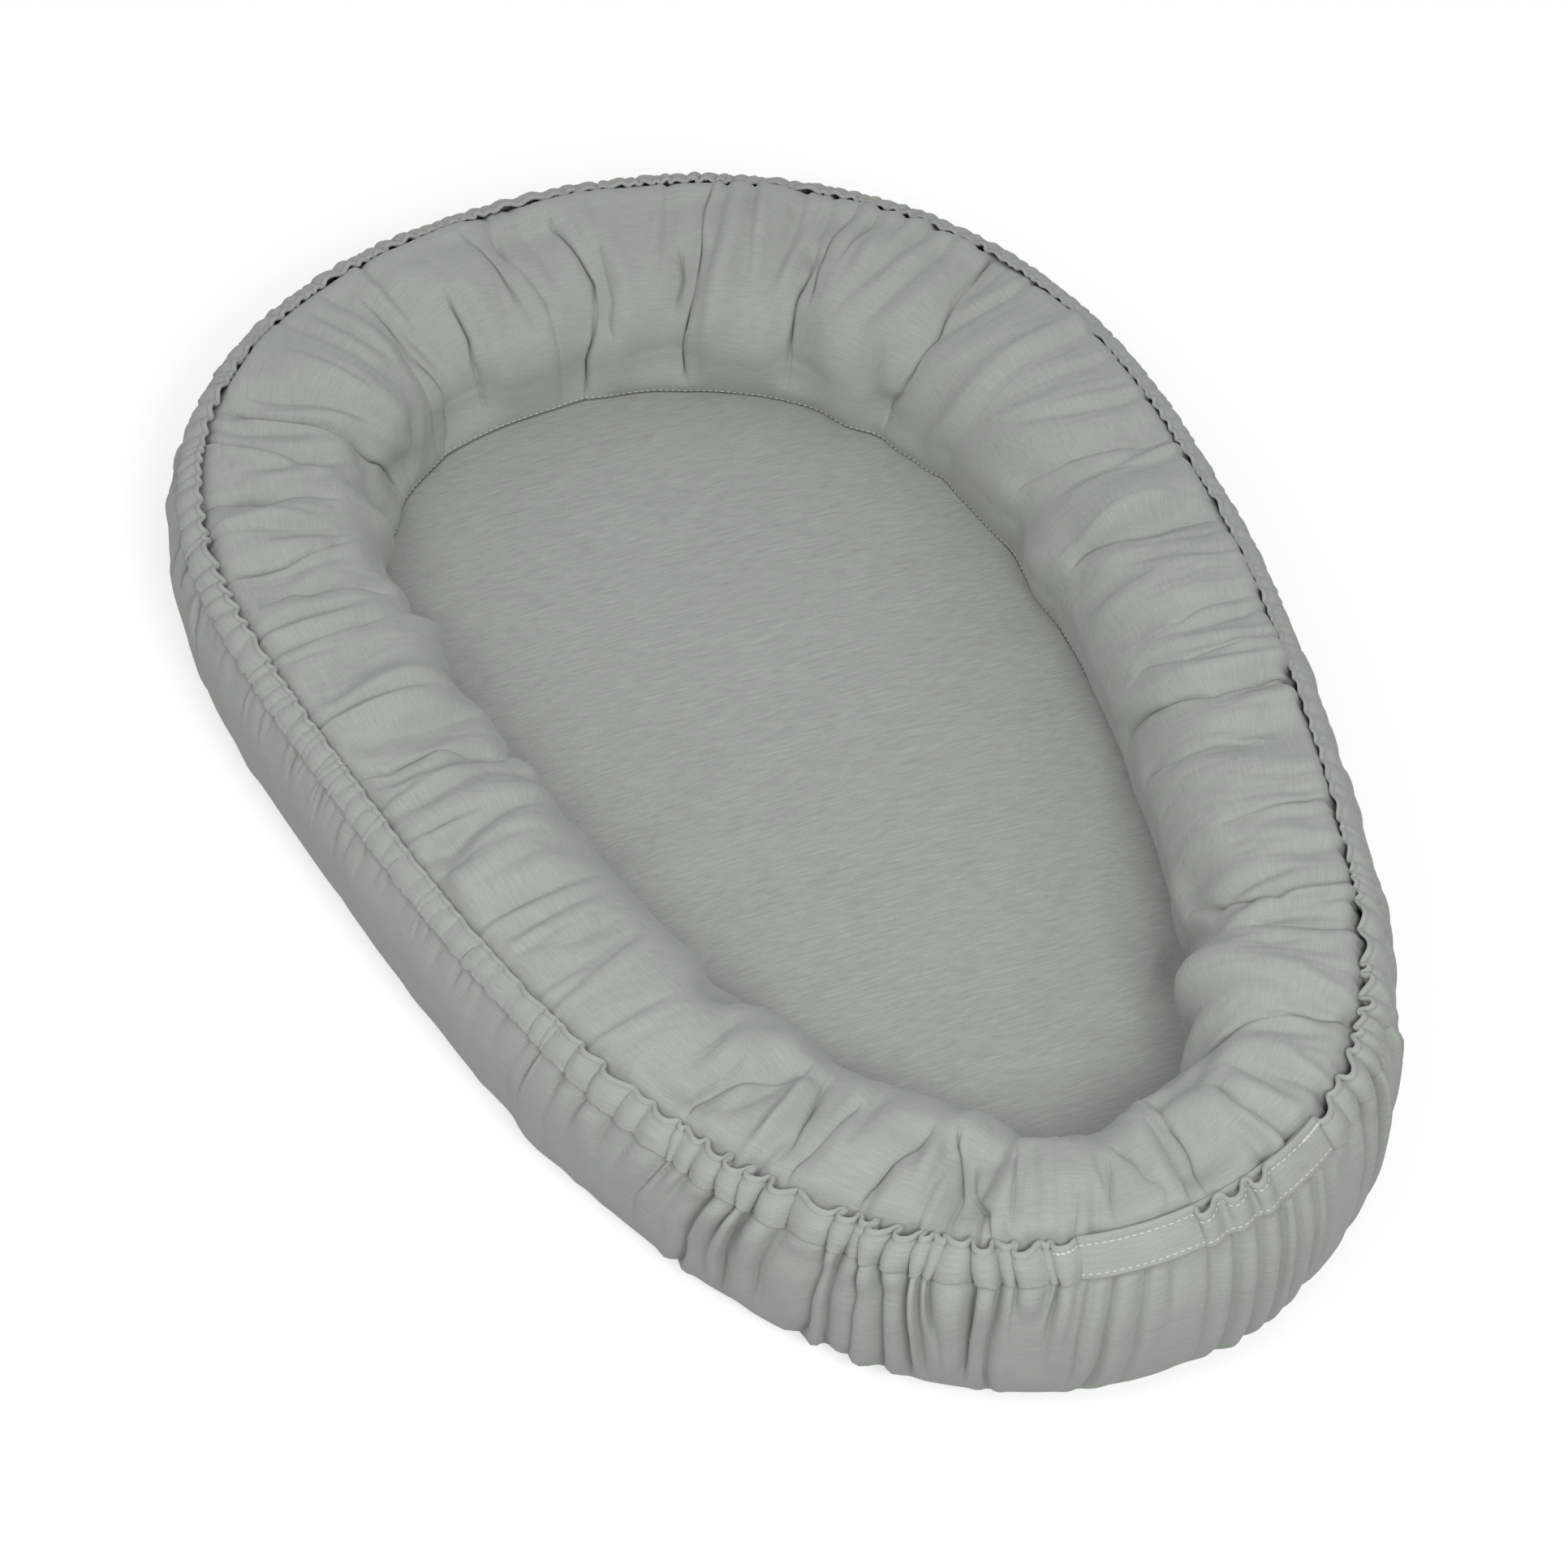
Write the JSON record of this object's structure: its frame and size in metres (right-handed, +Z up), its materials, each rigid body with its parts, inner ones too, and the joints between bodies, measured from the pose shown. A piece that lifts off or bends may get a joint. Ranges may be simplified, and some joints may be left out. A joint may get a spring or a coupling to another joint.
{
  "type": "infant lounger",
  "caption": "Baby nest: a stuffed, gathered bumper ring round a thin padded mattress, held by a fitted skirt with an elasticated hem.",
  "frame": {"origin": "on the floor, under the middle of the lounger's own box", "axes": "+Y towards the wide head end, +X to the right seen from above with the head end away, +Z up"},
  "size_m": [0.572, 0.9014, 0.1437],
  "materials": {
    "cover_jersey": "matte sage-green cotton jersey with a fine slub",
    "lining_cloth": "plain off-white nonwoven",
    "fibre_fill": "white polyester fibre",
    "elastic_band": "white woven elastic",
    "cover_thread": "matte thread in the cover's colour",
    "sewing_thread": "pale grey-white thread"
  },
  "bodies": {
    "root": {"base_panel": "cover_jersey", "base_seam": "cover_jersey", "mattress_backing": "lining_cloth", "mattress_pad": "fibre_fill", "mattress_top_panel": "cover_jersey", "mattress_seam_stitch": "sewing_thread", "bumper_fill": "fibre_fill", "bumper_lining": "lining_cloth", "bumper_cover": "cover_jersey", "outer_skirt": "cover_jersey", "hem_casing": "cover_jersey", "hem_elastic": "elastic_band", "hem_upper_stitch": "cover_thread", "hem_lower_stitch": "cover_thread", "closing_placket": "cover_jersey", "placket_upper_stitch": "sewing_thread", "placket_lower_stitch": "sewing_thread", "placket_tack_start": "sewing_thread", "placket_tack_end": "sewing_thread"}
  },
  "joints": []
}
